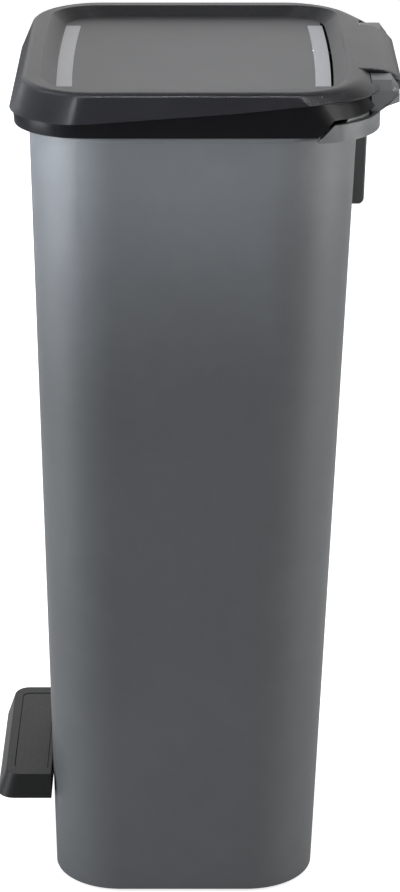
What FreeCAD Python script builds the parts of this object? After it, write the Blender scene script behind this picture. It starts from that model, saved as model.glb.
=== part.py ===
import FreeCAD, Part
import math
import os
import re

import Sketcher

# A slim pedal trash can.  +Z is up, the pedal is at the front (-Y), the lid's
# hinge is at the rear (+Y).  The origin is on the floor, in the middle of the
# outer size.  All lengths are millimetres.

X_AXIS = FreeCAD.Vector(1, 0, 0)
Z_AXIS = FreeCAD.Vector(0, 0, 1)

# ---------------------------------------------------------------- dimensions
DIMENSIONS = {
    # tub
    "tub_base": 2.0, "tub_height": 639.5, "wall": 2.5,
    "foot_half": 118.9, "foot_front": -112.8, "foot_rear": 97.5, "foot_radius": 54.0,
    "rim_half": 127.8, "rim_front": -123.5, "rim_rear": 124.9, "rim_radius": 60.0,
    "bead_out": 6.7, "bead_thick": 3.5,
    "floor_level": 104.0, "floor_thick": 2.5,
    # front slot for the pedal
    "slot_half": 88.0, "slot_low": 52.0, "slot_high": 92.0,
    # rear channel for the lift rod
    "channel_half": 9.0, "channel_wall": 2.5, "channel_gap": 5.0,
    # lift rod, leaning back with the rear wall
    "rod_low_y": 86.0, "rod_low_z": 60.0, "rod_high_y": 126.3, "rod_high_z": 647.0,
    "rod_radius": 2.5, "cap_radius": 4.0, "shoe_radius": 6.5, "shoe_height": 8.0,
    "guide_height": 14.0, "guide_lower_z": 230.0, "guide_upper_z": 430.0,
    # base plate, feet and their fixings
    "plate_level": 4.0, "plate_thick": 3.0, "plate_gap": 0.4,
    "foot_pad_radius": 12.0, "foot_pad_x": 84.0, "foot_pad_front": -76.0, "foot_pad_rear": 60.0,
    "post_radius": 5.0, "post_x": 100.0, "post_front": -58.0, "post_rear": 44.0,
    # pedal axle and its blocks
    "pivot_y": -60.0, "pivot_z": 66.0, "axle_radius": 3.0, "axle_half": 34.0,
    "block_inner": 20.0, "block_outer": 30.0, "block_half": 13.0, "block_top": 75.0,
    # pedal lever
    "lever_tilt": 5.8, "lever_half": 15.0, "lever_half_height": 7.0, "lever_wall": 2.0,
    "lever_front": 84.0, "lever_rear": 154.0, "bush_radius": 4.5,
    # pedal plate
    "pedal_tip": -160.0, "pedal_lip": -153.0, "pedal_back": -103.0,
    "pedal_half": 82.0, "pedal_low_half": 85.0, "pedal_low": 67.5, "pedal_top": 88.0,
    "pedal_wall": 3.0, "pedal_corner": 14.0, "tread_border": 12.0, "tread_thick": 1.2,
    # lid
    "lid_top": 676.0, "lid_half": 139.5, "lid_front": -123.8, "lid_rear": 123.6, "lid_radius": 50.0,
    "skirt_low": 641.0, "skirt_half": 145.6, "skirt_front": -136.9, "skirt_rear": 138.6,
    "skirt_radius": 58.0, "cover_wall": 2.2, "cover_top": 2.6,
    "crease_low": 652.8, "crease_high": 668.4, "crease_start": -75.0, "crease_end": 108.0,
    "frame_inset": 2.6, "skirt_tuck": 0.8, "frame_wall": 2.4, "frame_top": 673.0, "ledge_thick": 2.2,
    "rib_half": 135.8, "rib_front": -117.0, "rib_rear": 114.0, "rib_low": 644.0, "rib_radius": 54.0,
    "rib_wall": 2.0,
    # recess in the lid and the two strips on its sloping ends
    "recess_half": 131.0, "recess_front": -101.5, "recess_rear": 104.0, "recess_radius": 42.0,
    "panel_level": 668.0, "panel_half": 126.0, "panel_front": -90.0, "panel_rear": 92.5,
    "panel_radius": 32.0, "strip_half": 96.0, "strip_sink": 1.0,
    # hinge
    "hinge_y": 147.0, "hinge_z": 661.0, "pin_radius": 2.5, "pin_fit": 0.05,
    "tongue_half": 70.0, "tongue_wall": 3.0, "tongue_root": 118.0, "tongue_bend": 138.0,
    "tongue_bend_level": 675.2, "tongue_fall": 149.0, "tongue_fall_level": 672.5,
    "tongue_end": 160.0, "tongue_tip_high": 665.0, "tongue_tip_low": 657.5,
    "barrel_radius": 8.0, "barrel_length": 22.0, "lug_inner": 71.0, "lug_outer": 105.0,
    "lug_front": 134.0, "lug_foot": 139.0, "lug_knee": 645.0, "lug_back": 155.5,
    "lug_back_low": 652.0, "lug_back_high": 663.0, "lug_top": 672.0, "lug_side_top": 668.0,
    "lug_room": 18.0,
    # hinge collar
    "band_half": 143.0, "band_rear": 138.4, "band_radius": 57.0, "band_wall": 3.0,
    "band_low": 637.0, "band_side_top": 650.0, "band_start": 92.0, "shelf_low": 639.5,
    "shelf_thick": 3.0, "rod_hole": 6.5, "collar_screw_x": 116.3, "collar_screw_y": 105.6,
    "collar_screw_mid": 50.0, "screw_hole": 1.4, "screw_way": 1.8,
    # rod cover
    "cover_half": 14.0, "cover_low": 545.5, "cover_high": 635.8, "cover_skin": 2.0,
    "cover_foot": 130.5, "cover_bend": 134.6, "cover_rear": 137.2, "cover_gap": 0.4,
    "cover_rod_hole": 5.5,
    # bag ring
    "ring_thick": 2.0, "ring_half": 126.5, "ring_front": -122.2, "ring_rear": 119.0,
    "ring_radius": 56.0, "ring_drop": 24.0, "ring_step": 5.0,
}

doc = FreeCAD.newDocument("pedal_trash_can")
sheet = doc.addObject("Spreadsheet::Sheet", "sizes")
for row, (alias, amount) in enumerate(DIMENSIONS.items(), start=1):
    sheet.set(f"A{row}", alias)
    sheet.set(f"B{row}", str(amount))
    sheet.setAlias(f"B{row}", alias)
doc.recompute()

sub_parts = []


# ------------------------------------------------------------------- helpers
def number(expression):
    """Value of an expression written with the sheet's aliases."""
    return float(sheet.evalExpression(expression))


def bound(expression):
    """The same expression, with each alias read from the sheet."""
    return re.sub(r"[a-z_]+", lambda word: "sizes." + word.group(0), expression)


def new_body(label):
    body = doc.addObject("PartDesign::Body", label)
    body.Label = label
    sub_parts.append(body)
    return body


def new_sketch(body, name, role="XY_Plane", offset="0"):
    """A sketch on one of the body's own origin planes, moved along its normal."""
    sketch = body.newObject("Sketcher::SketchObject", f"{body.Label}_{name}")
    plane = [item for item in body.Origin.OriginFeatures if item.Role == role][0]
    sketch.AttachmentSupport = [(plane, "")]
    sketch.MapMode = "FlatFace"
    sketch.setExpression(".AttachmentOffset.Base.z", bound(offset))
    return sketch


def hold(sketch, kind, edge, corner, expression):
    """A dimension of one point of the sketch, bound to the sheet."""
    index = sketch.addConstraint(Sketcher.Constraint(kind, edge, corner, number(expression)))
    sketch.setExpression(f"Constraints[{index}]", bound(expression))


def polygon(body, name, corners, role="XY_Plane", offset="0"):
    """A closed outline of straight lines through (across, up) expressions."""
    sketch = new_sketch(body, name, role, offset)
    points = [FreeCAD.Vector(number(across), number(up), 0) for across, up in corners]
    for index, start in enumerate(points):
        sketch.addGeometry(Part.LineSegment(start, points[(index + 1) % len(points)]))
    for index in range(len(points)):
        following = (index + 1) % len(points)
        sketch.addConstraint(Sketcher.Constraint("Coincident", index, 2, following, 1))
    for index, (across, up) in enumerate(corners):
        hold(sketch, "DistanceX", index, 1, across)
        hold(sketch, "DistanceY", index, 1, up)
    return sketch


def add_rounded(sketch, half, front, rear, radius):
    """Adds a rectangle with rounded corners, symmetric about the middle plane."""
    x1, y0, y1 = number(half), number(front), number(rear)
    r = number(radius)
    first = sketch.GeometryCount
    stops = [(-x1 + r, y0, x1 - r, y0), (x1, y0 + r, x1, y1 - r),
             (x1 - r, y1, -x1 + r, y1), (-x1, y1 - r, -x1, y0 + r)]
    centres = [(x1 - r, y0 + r, -90), (x1 - r, y1 - r, 0), (-x1 + r, y1 - r, 90),
               (-x1 + r, y0 + r, 180)]
    for xa, ya, xb, yb in stops:
        sketch.addGeometry(Part.LineSegment(FreeCAD.Vector(xa, ya, 0), FreeCAD.Vector(xb, yb, 0)))
    for xc, yc, start in centres:
        circle = Part.Circle(FreeCAD.Vector(xc, yc, 0), Z_AXIS, r)
        sketch.addGeometry(Part.ArcOfCircle(circle, math.radians(start), math.radians(start + 90)))
    for side in range(4):
        line, arc, after = first + side, first + 4 + side, first + (side + 1) % 4
        sketch.addConstraint(Sketcher.Constraint("Tangent", line, 2, arc, 1))
        sketch.addConstraint(Sketcher.Constraint("Tangent", arc, 2, after, 1))
        if side:
            sketch.addConstraint(Sketcher.Constraint("Equal", first + 4, arc))
    sketch.addConstraint(Sketcher.Constraint("Horizontal", first))
    sketch.addConstraint(Sketcher.Constraint("Vertical", first + 1))
    index = sketch.addConstraint(Sketcher.Constraint("Radius", first + 4, r))
    sketch.setExpression(f"Constraints[{index}]", bound(radius))
    hold(sketch, "DistanceY", first, 1, front)
    hold(sketch, "DistanceX", first + 1, 1, half)
    hold(sketch, "DistanceY", first + 2, 1, rear)
    hold(sketch, "DistanceX", first + 3, 1, f"-({half})")


def rounded(body, name, offset, *outlines):
    """A sketch of one or more rounded rectangles at a height."""
    sketch = new_sketch(body, name, "XY_Plane", offset)
    for outline in outlines:
        add_rounded(sketch, *outline)
    return sketch


def discs(body, name, places, radius, role="XY_Plane", offset="0"):
    """A sketch of equal circles at (across, up) expressions."""
    sketch = new_sketch(body, name, role, offset)
    for across, up in places:
        centre = FreeCAD.Vector(number(across), number(up), 0)
        index = sketch.addGeometry(Part.Circle(centre, Z_AXIS, number(radius)))
        hold(sketch, "DistanceX", index, 3, across)
        hold(sketch, "DistanceY", index, 3, up)
        ring = sketch.addConstraint(Sketcher.Constraint("Radius", index, number(radius)))
        sketch.setExpression(f"Constraints[{ring}]", bound(radius))
    return sketch


def loft(body, name, lower, upper, cut=False):
    kind = "PartDesign::SubtractiveLoft" if cut else "PartDesign::AdditiveLoft"
    feature = body.newObject(kind, f"{body.Label}_{name}")
    feature.Profile = lower
    feature.Sections = [upper]
    feature.Ruled = True
    return feature


def pad(sketch, length, name="pad", both_ways=False, backwards=False):
    body = sketch.getParentGeoFeatureGroup()
    feature = body.newObject("PartDesign::Pad", f"{sketch.Label}_{name}")
    feature.Profile = sketch
    feature.SideType = "Symmetric" if both_ways else "One side"
    feature.Reversed = backwards
    feature.setExpression("Length", bound(length))
    return feature


def pocket(sketch, length, both_ways=False, backwards=False):
    """Cuts a sketch away.  The cut has to take something, or the build stops."""
    body = sketch.getParentGeoFeatureGroup()
    doc.recompute()
    before = body.Shape.Volume
    feature = body.newObject("PartDesign::Pocket", f"{sketch.Label}_cut")
    feature.Profile = sketch
    feature.SideType = "Symmetric" if both_ways else "One side"
    feature.Reversed = backwards
    feature.setExpression("Length", bound(length))
    doc.recompute()
    if not body.Shape.Volume < before - 0.5:
        raise RuntimeError(f"{feature.Name} cuts nothing")
    return feature


def shape_part(label, shape, placement=FreeCAD.Placement()):
    """A small piece whose solid is worked out in code from the sheet."""
    feature = doc.addObject("Part::Feature", label)
    feature.Label = label
    feature.Shape = shape
    feature.Placement = placement
    sub_parts.append(feature)
    return feature


def cylinder(radius, length, start, direction=Z_AXIS):
    return Part.makeCylinder(radius, length, FreeCAD.Vector(*start), direction)


def screw(head_radius, head, radius, length, start, direction):
    """A pan-head screw: start is the centre of the face under its head."""
    way = FreeCAD.Vector(*direction)
    place = FreeCAD.Vector(*start)
    shank = Part.makeCylinder(radius, length, place, way)
    top = Part.makeCylinder(head_radius, head, place - way * head, way)
    return top.fuse(shank).removeSplitter()


# -------------------------------------------------- shared lines of the tub
def tub_outline(inset, level):
    """The tub's outline at a height, moved in by an amount."""
    share = f"(({level}) - tub_base) / (tub_height - tub_base)"
    return (f"foot_half + (rim_half - foot_half) * {share} - ({inset})",
            f"foot_front + (rim_front - foot_front) * {share} + ({inset})",
            f"foot_rear + (rim_rear - foot_rear) * {share} - ({inset})",
            f"foot_radius + (rim_radius - foot_radius) * {share} - ({inset})")


def lid_outline(inset, level):
    """The outline of the lid's flare at a height, moved in by an amount."""
    share = f"(({level}) - crease_low) / (lid_top - crease_low)"
    return (f"skirt_half + (lid_half - skirt_half) * {share} - ({inset})",
            f"skirt_front + (lid_front - skirt_front) * {share} + ({inset})",
            f"skirt_rear + (lid_rear - skirt_rear) * {share} - ({inset})",
            f"skirt_radius + (lid_radius - skirt_radius) * {share} - ({inset})")


def rod_y(level):
    """The lift rod's centre line, which leans back with the rear wall."""
    slope = "(rod_high_y - rod_low_y) / (rod_high_z - rod_low_z)"
    return f"rod_low_y + (({level}) - rod_low_z) * {slope}"


def rear_wall(level):
    """Outer face of the tub's rear wall at a height."""
    return tub_outline("0", level)[2]


def reach(body, name, outline, low, high, cut=False):
    """A loft between two heights whose outline is a function of height."""
    lower = rounded(body, f"{name}_low", low, outline(low))
    upper = rounded(body, f"{name}_high", high, outline(high))
    return loft(body, name, lower, upper, cut)


# ------------------------------------------------------------------- the tub
def make_tub():
    body = new_body("tub")
    reach(body, "shell", lambda level: tub_outline("0", level), "tub_base", "tub_height")
    bead = rounded(body, "bead", "tub_height - bead_thick", tub_outline("-bead_out", "tub_height"))
    pad(bead, "bead_thick")
    reach(body, "hollow", lambda level: tub_outline("wall", level), "tub_base", "tub_height", True)
    floor = rounded(body, "floor", "floor_level", tub_outline("wall / 2", "floor_level"))
    pad(floor, "floor_thick")
    posts = discs(body, "posts", post_places(), "post_radius", "XY_Plane",
                  "plate_level + plate_thick")
    pad(posts, "floor_level - plate_level - plate_thick")
    inner = "channel_gap + channel_wall"
    rib = polygon(body, "channel_rib", [
        (f"{rod_y('floor_level')} - ({inner})", "floor_level"),
        (f"{rear_wall('floor_level')} - wall / 2", "floor_level"),
        (f"{rear_wall('tub_height')} - wall / 2", "tub_height"),
        (f"{rod_y('tub_height')} - ({inner})", "tub_height")], "YZ_Plane")
    pad(rib, "2 * (channel_half + channel_wall)", both_ways=True)
    groove = polygon(body, "channel", [
        (f"{rod_y('floor_level - 1')} - channel_gap", "floor_level - 1"),
        (f"{rear_wall('floor_level')} + 5", "floor_level - 1"),
        ("rim_rear + bead_out + 5", "tub_height + 1"),
        (f"{rod_y('tub_height + 1')} - channel_gap", "tub_height + 1")], "YZ_Plane")
    pocket(groove, "2 * channel_half", both_ways=True)
    slot = polygon(body, "slot", [
        ("-slot_half", "slot_low"), ("slot_half", "slot_low"),
        ("slot_half", "slot_high"), ("-slot_half", "slot_high")], "XZ_Plane", "60")
    pocket(slot, "70", backwards=True)
    pocket(discs(body, "post_holes", post_places(), "screw_hole", "XY_Plane",
                 "plate_level + plate_thick - 1"), "14", backwards=True)
    pocket(discs(body, "collar_holes", collar_screw_places(), "screw_hole", "XY_Plane",
                 "tub_height + 1"), "bead_thick + 2")
    return body


def post_places():
    return [(x, y) for x in ("-post_x", "post_x") for y in ("post_front", "post_rear")]


def collar_screw_places():
    rear = "rim_rear + bead_out / 2"
    return [("-collar_screw_x", "collar_screw_y"), ("collar_screw_x", "collar_screw_y"),
            ("-collar_screw_mid", rear), ("collar_screw_mid", rear)]


# -------------------------------------------------------- base plate and feet
def make_base():
    plate = new_body("base_plate")
    outline = tub_outline("wall + plate_gap", "plate_level")
    pad(rounded(plate, "outline", "plate_level", outline), "plate_thick")
    pocket(discs(plate, "screw_holes", post_places(), "2.2", "XY_Plane", "plate_level - 1"),
           "plate_thick + 2", backwards=True)
    for side, x in (("left", "-foot_pad_x"), ("right", "foot_pad_x")):
        for end, y in (("front", "foot_pad_front"), ("rear", "foot_pad_rear")):
            pad_body = new_body(f"foot_{end}_{side}")
            feature = pad(discs(pad_body, "outline", [(x, y)], "foot_pad_radius"), "plate_level")
            edge = pad_body.newObject("PartDesign::Chamfer", f"foot_{end}_{side}_edge")
            edge.Base = (feature, [lowest_edge(feature)])
            edge.Size = 1.0
    under = number("plate_level")
    screws = [screw(3.8, 1.8, 1.35, 14.0, (number(x), number(y), under), (0, 0, 1))
              for x, y in post_places()]
    shape_part("base_screws", Part.makeCompound(screws))


def lowest_edge(feature):
    doc.recompute()
    heights = [edge.BoundBox.ZMax for edge in feature.Shape.Edges]
    return f"Edge{heights.index(min(heights)) + 1}"


# -------------------------------------------------- pedal axle and its blocks
def make_axle():
    low = "plate_level + plate_thick"
    for side, sign in (("left", "-"), ("right", "")):
        body = new_body(f"axle_block_{side}")
        centre = f"{sign}(block_inner + block_outer) / 2"
        outline = polygon(body, "outline", [
            ("pivot_y - block_half - 8", low), ("pivot_y + block_half + 8", low),
            ("pivot_y + block_half", f"{low} + 12"), ("pivot_y + block_half - 4", "block_top"),
            ("pivot_y - block_half + 4", "block_top"), ("pivot_y - block_half", f"{low} + 12")],
            "YZ_Plane", centre)
        pad(outline, "block_outer - block_inner", both_ways=True)
        bore = discs(body, "bore", [("pivot_y", "pivot_z")], "axle_radius", "YZ_Plane", centre)
        pocket(bore, "block_outer - block_inner + 2", both_ways=True)
    radius = number("axle_radius")
    half = number("axle_half")
    middle = (0, number("pivot_y"), number("pivot_z"))
    axle = cylinder(radius, 2 * half, (-half, middle[1], middle[2]), X_AXIS)
    shape_part("pedal_axle", axle)
    washers = []
    for start in (-number("block_outer") - 1.6, number("block_outer") + 0.1):
        place = (start, middle[1], middle[2])
        washer = cylinder(7.0, 1.5, place, X_AXIS).cut(cylinder(radius, 1.5, place, X_AXIS))
        washers.append(washer)
    shape_part("axle_washers", Part.makeCompound(washers))
    stop = new_body("pedal_stop")
    outline = polygon(stop, "outline", [
        ("pivot_y + 30", low), ("pivot_y + 50", low),
        ("pivot_y + 50", "pivot_z - 12.8"), ("pivot_y + 30", "pivot_z - 10.8")], "YZ_Plane")
    pad(outline, "2 * lever_half + 2", both_ways=True)


# ---------------------------------------------------------------- the pedal
def make_pedal():
    plate = new_body("pedal_plate")
    lower = rounded(plate, "low", "pedal_low",
                    ("pedal_low_half", "pedal_tip", "pedal_back", "pedal_corner"))
    upper = rounded(plate, "high", "pedal_top",
                    ("pedal_half", "pedal_lip", "pedal_back", "pedal_corner - 2"))
    loft(plate, "shell", lower, upper)
    lower_in = rounded(plate, "low_in", "pedal_low - 0.01",
                       ("pedal_low_half - pedal_wall", "pedal_tip + pedal_wall",
                        "pedal_back - pedal_wall", "pedal_corner - pedal_wall"))
    upper_in = rounded(plate, "high_in", "pedal_top - pedal_wall",
                       ("pedal_half - pedal_wall", "pedal_lip + pedal_wall",
                        "pedal_back - pedal_wall", "pedal_corner - 2 - pedal_wall"))
    loft(plate, "hollow", lower_in, upper_in, cut=True)
    tread = ("pedal_half - tread_border", "pedal_lip + tread_border", "pedal_back - 6", "6")
    seat = rounded(plate, "tread_seat", "pedal_top + 1", tread)
    pocket(seat, "1 + tread_thick")
    notch = polygon(plate, "lever_notch", [
        ("-lever_half - 1.5", "pedal_low - 2"), ("lever_half + 1.5", "pedal_low - 2"),
        ("lever_half + 1.5", "pedal_top - pedal_wall"),
        ("-lever_half - 1.5", "pedal_top - pedal_wall")], "XZ_Plane", "-(pedal_back - 8)")
    pocket(notch, "16")
    insert = new_body("pedal_tread")
    mat = ("pedal_half - tread_border - 0.2", "pedal_lip + tread_border + 0.2",
           "pedal_back - 6.2", "5.8")
    pad(rounded(insert, "outline", "pedal_top - tread_thick", mat), "tread_thick")
    make_lever()


def lever_place(x, along, up):
    """A point given in the lever's own frame, turned and moved to its pivot."""
    tilt = math.radians(number("lever_tilt"))
    return (x, number("pivot_y") + along * math.cos(tilt) + up * math.sin(tilt),
            number("pivot_z") - along * math.sin(tilt) + up * math.cos(tilt))


def make_lever():
    lever = new_body("pedal_lever")
    outline = polygon(lever, "side", [
        ("-lever_front", "-lever_half_height"), ("lever_rear", "-lever_half_height"),
        ("lever_rear", "lever_half_height"), ("-lever_front", "lever_half_height")], "YZ_Plane")
    pad(outline, "2 * lever_half", both_ways=True)
    inside = polygon(lever, "inside", [
        ("-lever_front + lever_wall", "-lever_half_height - 1"),
        ("lever_rear - lever_wall", "-lever_half_height - 1"),
        ("lever_rear - lever_wall", "lever_half_height - lever_wall"),
        ("-lever_front + lever_wall", "lever_half_height - lever_wall")], "YZ_Plane")
    pocket(inside, "2 * (lever_half - lever_wall)", both_ways=True)
    bore = discs(lever, "bore", [("0", "0")], "bush_radius", "YZ_Plane")
    pocket(bore, "2 * lever_half + 2", both_ways=True)
    holes = discs(lever, "screw_holes", [("-8", "-70"), ("8", "-70")], "1.6", "XY_Plane",
                  "lever_half_height + 1")
    pocket(holes, "lever_wall + 2")
    turned = FreeCAD.Rotation(X_AXIS, -number("lever_tilt"))
    lever.Placement = FreeCAD.Placement(FreeCAD.Vector(0, 0, 0), turned)
    lever.setExpression(".Placement.Base.y", bound("pivot_y"))
    lever.setExpression(".Placement.Base.z", bound("pivot_z"))

    outer = number("bush_radius")
    inner = number("axle_radius + pin_fit")
    bushes = []
    for sign in (-1, 1):
        start = sign * number("lever_half - lever_wall - 3")
        end = sign * number("block_inner - 0.3")
        place = (min(start, end), number("pivot_y"), number("pivot_z"))
        bush = cylinder(outer, abs(end - start), place, X_AXIS)
        collar_start = min(sign * number("lever_half"), end)
        collar = cylinder(outer + 2.5, abs(end) - number("lever_half"),
                          (collar_start, place[1], place[2]), X_AXIS)
        bushes.append(bush.fuse(collar).cut(cylinder(inner, abs(end - start), place, X_AXIS)))
    shape_part("lever_bushes", Part.makeCompound(bushes))

    # Two screws go up through the lever into bosses under the pedal plate.
    screws = []
    bosses = []
    tilt = math.radians(number("lever_tilt"))
    up = (0, math.sin(tilt), math.cos(tilt))
    half_height = number("lever_half_height")
    wall = number("lever_wall")
    ceiling = number("pedal_top - pedal_wall")
    for x in (-8, 8):
        head_at = lever_place(x, -70, half_height - wall)
        screws.append(screw(3.0, 1.8, 1.5, 6.5, head_at, up))
        foot = lever_place(x, -70, half_height)
        boss = cylinder(3.6, 20, foot, FreeCAD.Vector(*up))
        block = Part.makeBox(60, 60, ceiling - foot[2] + 5,
                             FreeCAD.Vector(x - 30, foot[1] - 30, foot[2] - 5))
        boss = boss.common(block).cut(cylinder(1.5, 8.0, head_at, FreeCAD.Vector(*up)))
        bosses.append(boss)
    shape_part("pedal_screws", Part.makeCompound(screws))
    shape_part("pedal_spacers", Part.makeCompound(bosses))


# -------------------------------------------------------------- the lift rod
def rod_frame():
    """Start, unit direction and tilt in degrees of the rod's centre line."""
    low = FreeCAD.Vector(0, number("rod_low_y"), number("rod_low_z"))
    high = FreeCAD.Vector(0, number("rod_high_y"), number("rod_high_z"))
    way = (high - low).normalize()
    return low, high, way


def make_rod():
    low, high, way = rod_frame()
    radius = number("rod_radius")
    shoe_height = number("shoe_height")
    rod = Part.makeCylinder(radius, (high - low).Length - shoe_height + 4,
                            low + way * (shoe_height - 4), way)
    shape_part("lift_rod", rod)
    shoe = Part.makeCylinder(number("shoe_radius"), shoe_height, low - way * 1.0, way)
    shoe = shoe.cut(Part.makeCylinder(radius, shoe_height, low + way * (shoe_height - 4), way))
    shape_part("rod_shoe", shoe)
    cap_radius = number("cap_radius")
    cap = Part.makeSphere(cap_radius, high)
    cap = cap.fuse(Part.makeCylinder(cap_radius, 10, high - way * 10, way)).removeSplitter()
    cap = cap.cut(Part.makeCylinder(radius, 10, high - way * 10, way))
    shape_part("rod_cap", cap)
    tilt = math.degrees(math.atan2(way.y, way.z))
    for name in ("lower", "upper"):
        level = number(f"guide_{name}_z")
        place = low + way * ((level - low.z) / way.z)
        deep = number("channel_gap - 0.02")
        width = 2 * number("channel_half")
        height = number("guide_height")
        block = Part.makeBox(width, 2 * deep, height, FreeCAD.Vector(-width / 2, -deep, -height / 2))
        block = block.cut(cylinder(radius + 0.08, height, (0, 0, -height / 2)))
        leaning = FreeCAD.Placement(place, FreeCAD.Rotation(X_AXIS, -tilt))
        shape_part(f"rod_guide_{name}", block, leaning)


# ---------------------------------------------------------- the hinge collar
def make_collar():
    body = new_body("hinge_collar")
    outer = ("band_half", "-band_rear", "band_rear", "band_radius")
    inner = ("band_half - band_wall", "-band_rear + band_wall", "band_rear - band_wall",
             "band_radius - band_wall")
    pad(rounded(body, "band", "band_low", outer, inner), "band_side_top - band_low")
    opening = tub_outline("-0.3", "tub_height")
    pad(rounded(body, "shelf", "shelf_low", ("band_half - 1", "-band_rear + 1", "band_rear - 1",
                                             "band_radius - 1"), opening), "shelf_thick")
    front = polygon(body, "front_cut", [
        ("-band_rear - 5", "band_low - 5"), ("band_start - 5", "band_low - 5"),
        ("band_start + band_side_top - band_low + 5", "band_side_top + 5"),
        ("-band_rear - 5", "band_side_top + 5")], "YZ_Plane")
    pocket(front, "2 * band_half + 20", both_ways=True)
    for side, start in (("left", "-lug_outer"), ("right", "lug_inner")):
        lug = polygon(body, f"lug_{side}", [
            ("lug_front", "shelf_low"), ("lug_foot", "shelf_low"), ("hinge_y", "lug_knee"),
            ("lug_back", "lug_back_low"), ("lug_back", "lug_back_high"), ("hinge_y", "lug_top"),
            ("lug_front", "lug_top")], "YZ_Plane", start)
        pad(lug, "lug_outer - lug_inner")
    bore = discs(body, "bores", [("hinge_y", "hinge_z")], "pin_radius", "YZ_Plane")
    pocket(bore, "2 * lug_outer - 8", both_ways=True)
    for side, sign in (("left", "-"), ("right", "")):
        slope = polygon(body, f"lug_slope_{side}", [
            (f"{sign}(lug_outer + 1)", "lug_side_top"), (f"{sign}(lug_outer + 1)", "lug_top + 2"),
            (f"{sign}(lug_inner + 8)", "lug_top + 2"), (f"{sign}(lug_inner + 8)", "lug_top")],
            "XZ_Plane", "-(lug_front - 14)")
        pocket(slope, "50")
    rod_place = [("0", rod_y("shelf_low"))]
    pocket(discs(body, "rod_hole", rod_place, "rod_hole", "XY_Plane", "shelf_low - 1"),
           "shelf_thick + 2", backwards=True)
    pocket(discs(body, "screw_holes", collar_screw_places(), "screw_way", "XY_Plane",
                 "shelf_low - 1"), "shelf_thick + 2", backwards=True)

    top = number("shelf_low + shelf_thick")
    screws = [screw(3.0, 1.2, 1.35, 6.0, (number(x), number(y), top), (0, 0, -1))
              for x, y in collar_screw_places()]
    shape_part("collar_screws", Part.makeCompound(screws))

    for side, sign in (("left", -1), ("right", 1)):
        near = sign * number("tongue_half - barrel_length + 2")
        far = sign * number("lug_outer - 4")
        start = (min(near, far), number("hinge_y"), number("hinge_z"))
        pin = cylinder(number("pin_radius"), abs(far - near), start, X_AXIS)
        shape_part(f"hinge_pin_{side}", pin)


# ------------------------------------------------------------- the rod cover
def make_rod_cover():
    body = new_body("rod_cover")
    corners = [
        (f"{rear_wall('cover_high')} + cover_gap", "cover_high"),
        (f"{rear_wall('cover_low')} + cover_gap", "cover_low"), ("cover_foot", "cover_low"),
        ("cover_bend", "cover_low + 5"), ("cover_rear", "cover_high")]
    pad(polygon(body, "side", corners, "YZ_Plane"), "2 * cover_half", both_ways=True)
    hollow = [
        (f"{rear_wall('cover_high')} - 5", "cover_high - cover_skin"),
        (f"{rear_wall('cover_low')} - 5", "cover_low + cover_skin"),
        ("cover_foot - 1", "cover_low + cover_skin"), ("cover_bend - 2.1", "cover_low + 6"),
        ("cover_rear - 2.2", "cover_high - cover_skin")]
    pocket(polygon(body, "hollow", hollow, "YZ_Plane"), "2 * (cover_half - cover_skin)",
           both_ways=True)
    hole = discs(body, "rod_hole", [("0", rod_y("cover_high"))], "cover_rod_hole", "XY_Plane",
                 "cover_high + 1")
    pocket(hole, "cover_skin + 2")
    hole = discs(body, "rod_way_out", [("0", rod_y("cover_low"))], "cover_rod_hole", "XY_Plane",
                 "cover_low - 1")
    pocket(hole, "cover_skin + 2", backwards=True)


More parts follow.
